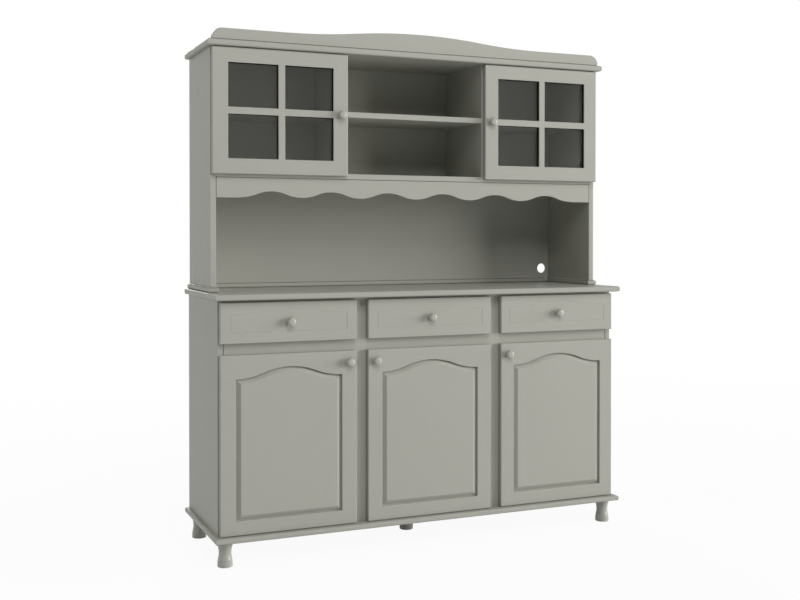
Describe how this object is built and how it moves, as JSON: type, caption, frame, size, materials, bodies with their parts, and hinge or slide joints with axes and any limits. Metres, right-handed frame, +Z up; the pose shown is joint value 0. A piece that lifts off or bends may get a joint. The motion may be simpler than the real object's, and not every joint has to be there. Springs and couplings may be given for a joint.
{
  "type": "dresser with hutch",
  "caption": "Painted dresser: a base with drawers and arched fielded doors on turned feet, under a hutch with glazed doors, open shelves, a scalloped valance and a shaped pediment.",
  "frame": {"origin": "On the floor under the middle of the overall box, which the base's top sets in width and depth", "axes": "+X to the right seen from the front, +Y to the back, +Z up; the front faces -Y"},
  "size_m": [1.48, 0.455, 1.7285],
  "materials": {
    "painted_wood": "satin grey-green paint on board",
    "pale_wood": "clear-lacquered pine",
    "zinc_steel": "bright zinc-plated steel",
    "clear_glass": "clear float glass"
  },
  "bodies": {
    "cabinet": {"turned_feet": "painted_wood", "plinth_board": "painted_wood", "base_left_side": "painted_wood", "base_right_side": "painted_wood", "base_back": "painted_wood", "countertop": "painted_wood", "left_stile": "painted_wood", "right_stile": "painted_wood", "mid_rail": "painted_wood", "top_rail": "painted_wood", "left_divider": "painted_wood", "right_divider": "painted_wood", "cupboard_shelves": "painted_wood", "slide_battens": "painted_wood", "hinge_batten": "painted_wood", "cabinet_slides": "zinc_steel", "hinge_arms": "zinc_steel", "hinge_plates": "zinc_steel", "hutch_left_foot": "painted_wood", "hutch_right_foot": "painted_wood", "hutch_back_rail": "painted_wood", "hutch_left_side": "painted_wood", "hutch_right_side": "painted_wood", "hutch_back": "painted_wood", "hutch_floor": "painted_wood", "valance": "painted_wood", "hutch_left_divider": "painted_wood", "hutch_right_divider": "painted_wood", "centre_shelf": "painted_wood", "glazed_shelves": "painted_wood", "crown_board": "painted_wood", "pediment": "painted_wood"},
    "left_cupboard_door": {"left_door": "painted_wood", "left_door_hinge_cups": "zinc_steel"},
    "centre_cupboard_door": {"centre_door": "painted_wood", "centre_door_hinge_cups": "zinc_steel"},
    "right_cupboard_door": {"right_door": "painted_wood", "right_door_hinge_cups": "zinc_steel"},
    "left_hutch_door": {"left_glazed_door": "painted_wood", "left_glass": "clear_glass", "left_glazed_door_hinge_cups": "zinc_steel"},
    "right_hutch_door": {"right_glazed_door": "painted_wood", "right_glass": "clear_glass", "right_glazed_door_hinge_cups": "zinc_steel"},
    "left_drawer": {"left_drawer_front": "painted_wood", "left_drawer_box": "pale_wood", "left_drawer_slides": "zinc_steel"},
    "centre_drawer": {"centre_drawer_front": "painted_wood", "centre_drawer_box": "pale_wood", "centre_drawer_slides": "zinc_steel"},
    "right_drawer": {"right_drawer_front": "painted_wood", "right_drawer_box": "pale_wood", "right_drawer_slides": "zinc_steel"}
  },
  "joints": [
    {"name": "left_cupboard_door_hinge", "type": "hinge", "parent": "cabinet", "child": "left_cupboard_door", "pos_m": [-0.7125, -0.1955, 0.381], "axis": [0, 0, -1], "range_deg": [0, 95]},
    {"name": "centre_cupboard_door_hinge", "type": "hinge", "parent": "cabinet", "child": "centre_cupboard_door", "pos_m": [0.218, -0.1955, 0.381], "axis": [0, 0, 1], "range_deg": [0, 95]},
    {"name": "right_cupboard_door_hinge", "type": "hinge", "parent": "cabinet", "child": "right_cupboard_door", "pos_m": [0.7125, -0.1955, 0.381], "axis": [0, 0, 1], "range_deg": [0, 95]},
    {"name": "left_hutch_door_hinge", "type": "hinge", "parent": "cabinet", "child": "left_hutch_door", "pos_m": [-0.7115, -0.0935, 1.44075], "axis": [0, 0, -1], "range_deg": [0, 95]},
    {"name": "right_hutch_door_hinge", "type": "hinge", "parent": "cabinet", "child": "right_hutch_door", "pos_m": [0.7115, -0.0935, 1.44075], "axis": [0, 0, 1], "range_deg": [0, 95]},
    {"name": "left_drawer_slide", "type": "slide", "parent": "cabinet", "child": "left_drawer", "axis": [0, -1, 0], "range_m": [0, 0.26]},
    {"name": "centre_drawer_slide", "type": "slide", "parent": "cabinet", "child": "centre_drawer", "axis": [0, -1, 0], "range_m": [0, 0.26]},
    {"name": "right_drawer_slide", "type": "slide", "parent": "cabinet", "child": "right_drawer", "axis": [0, -1, 0], "range_m": [0, 0.26]}
  ]
}
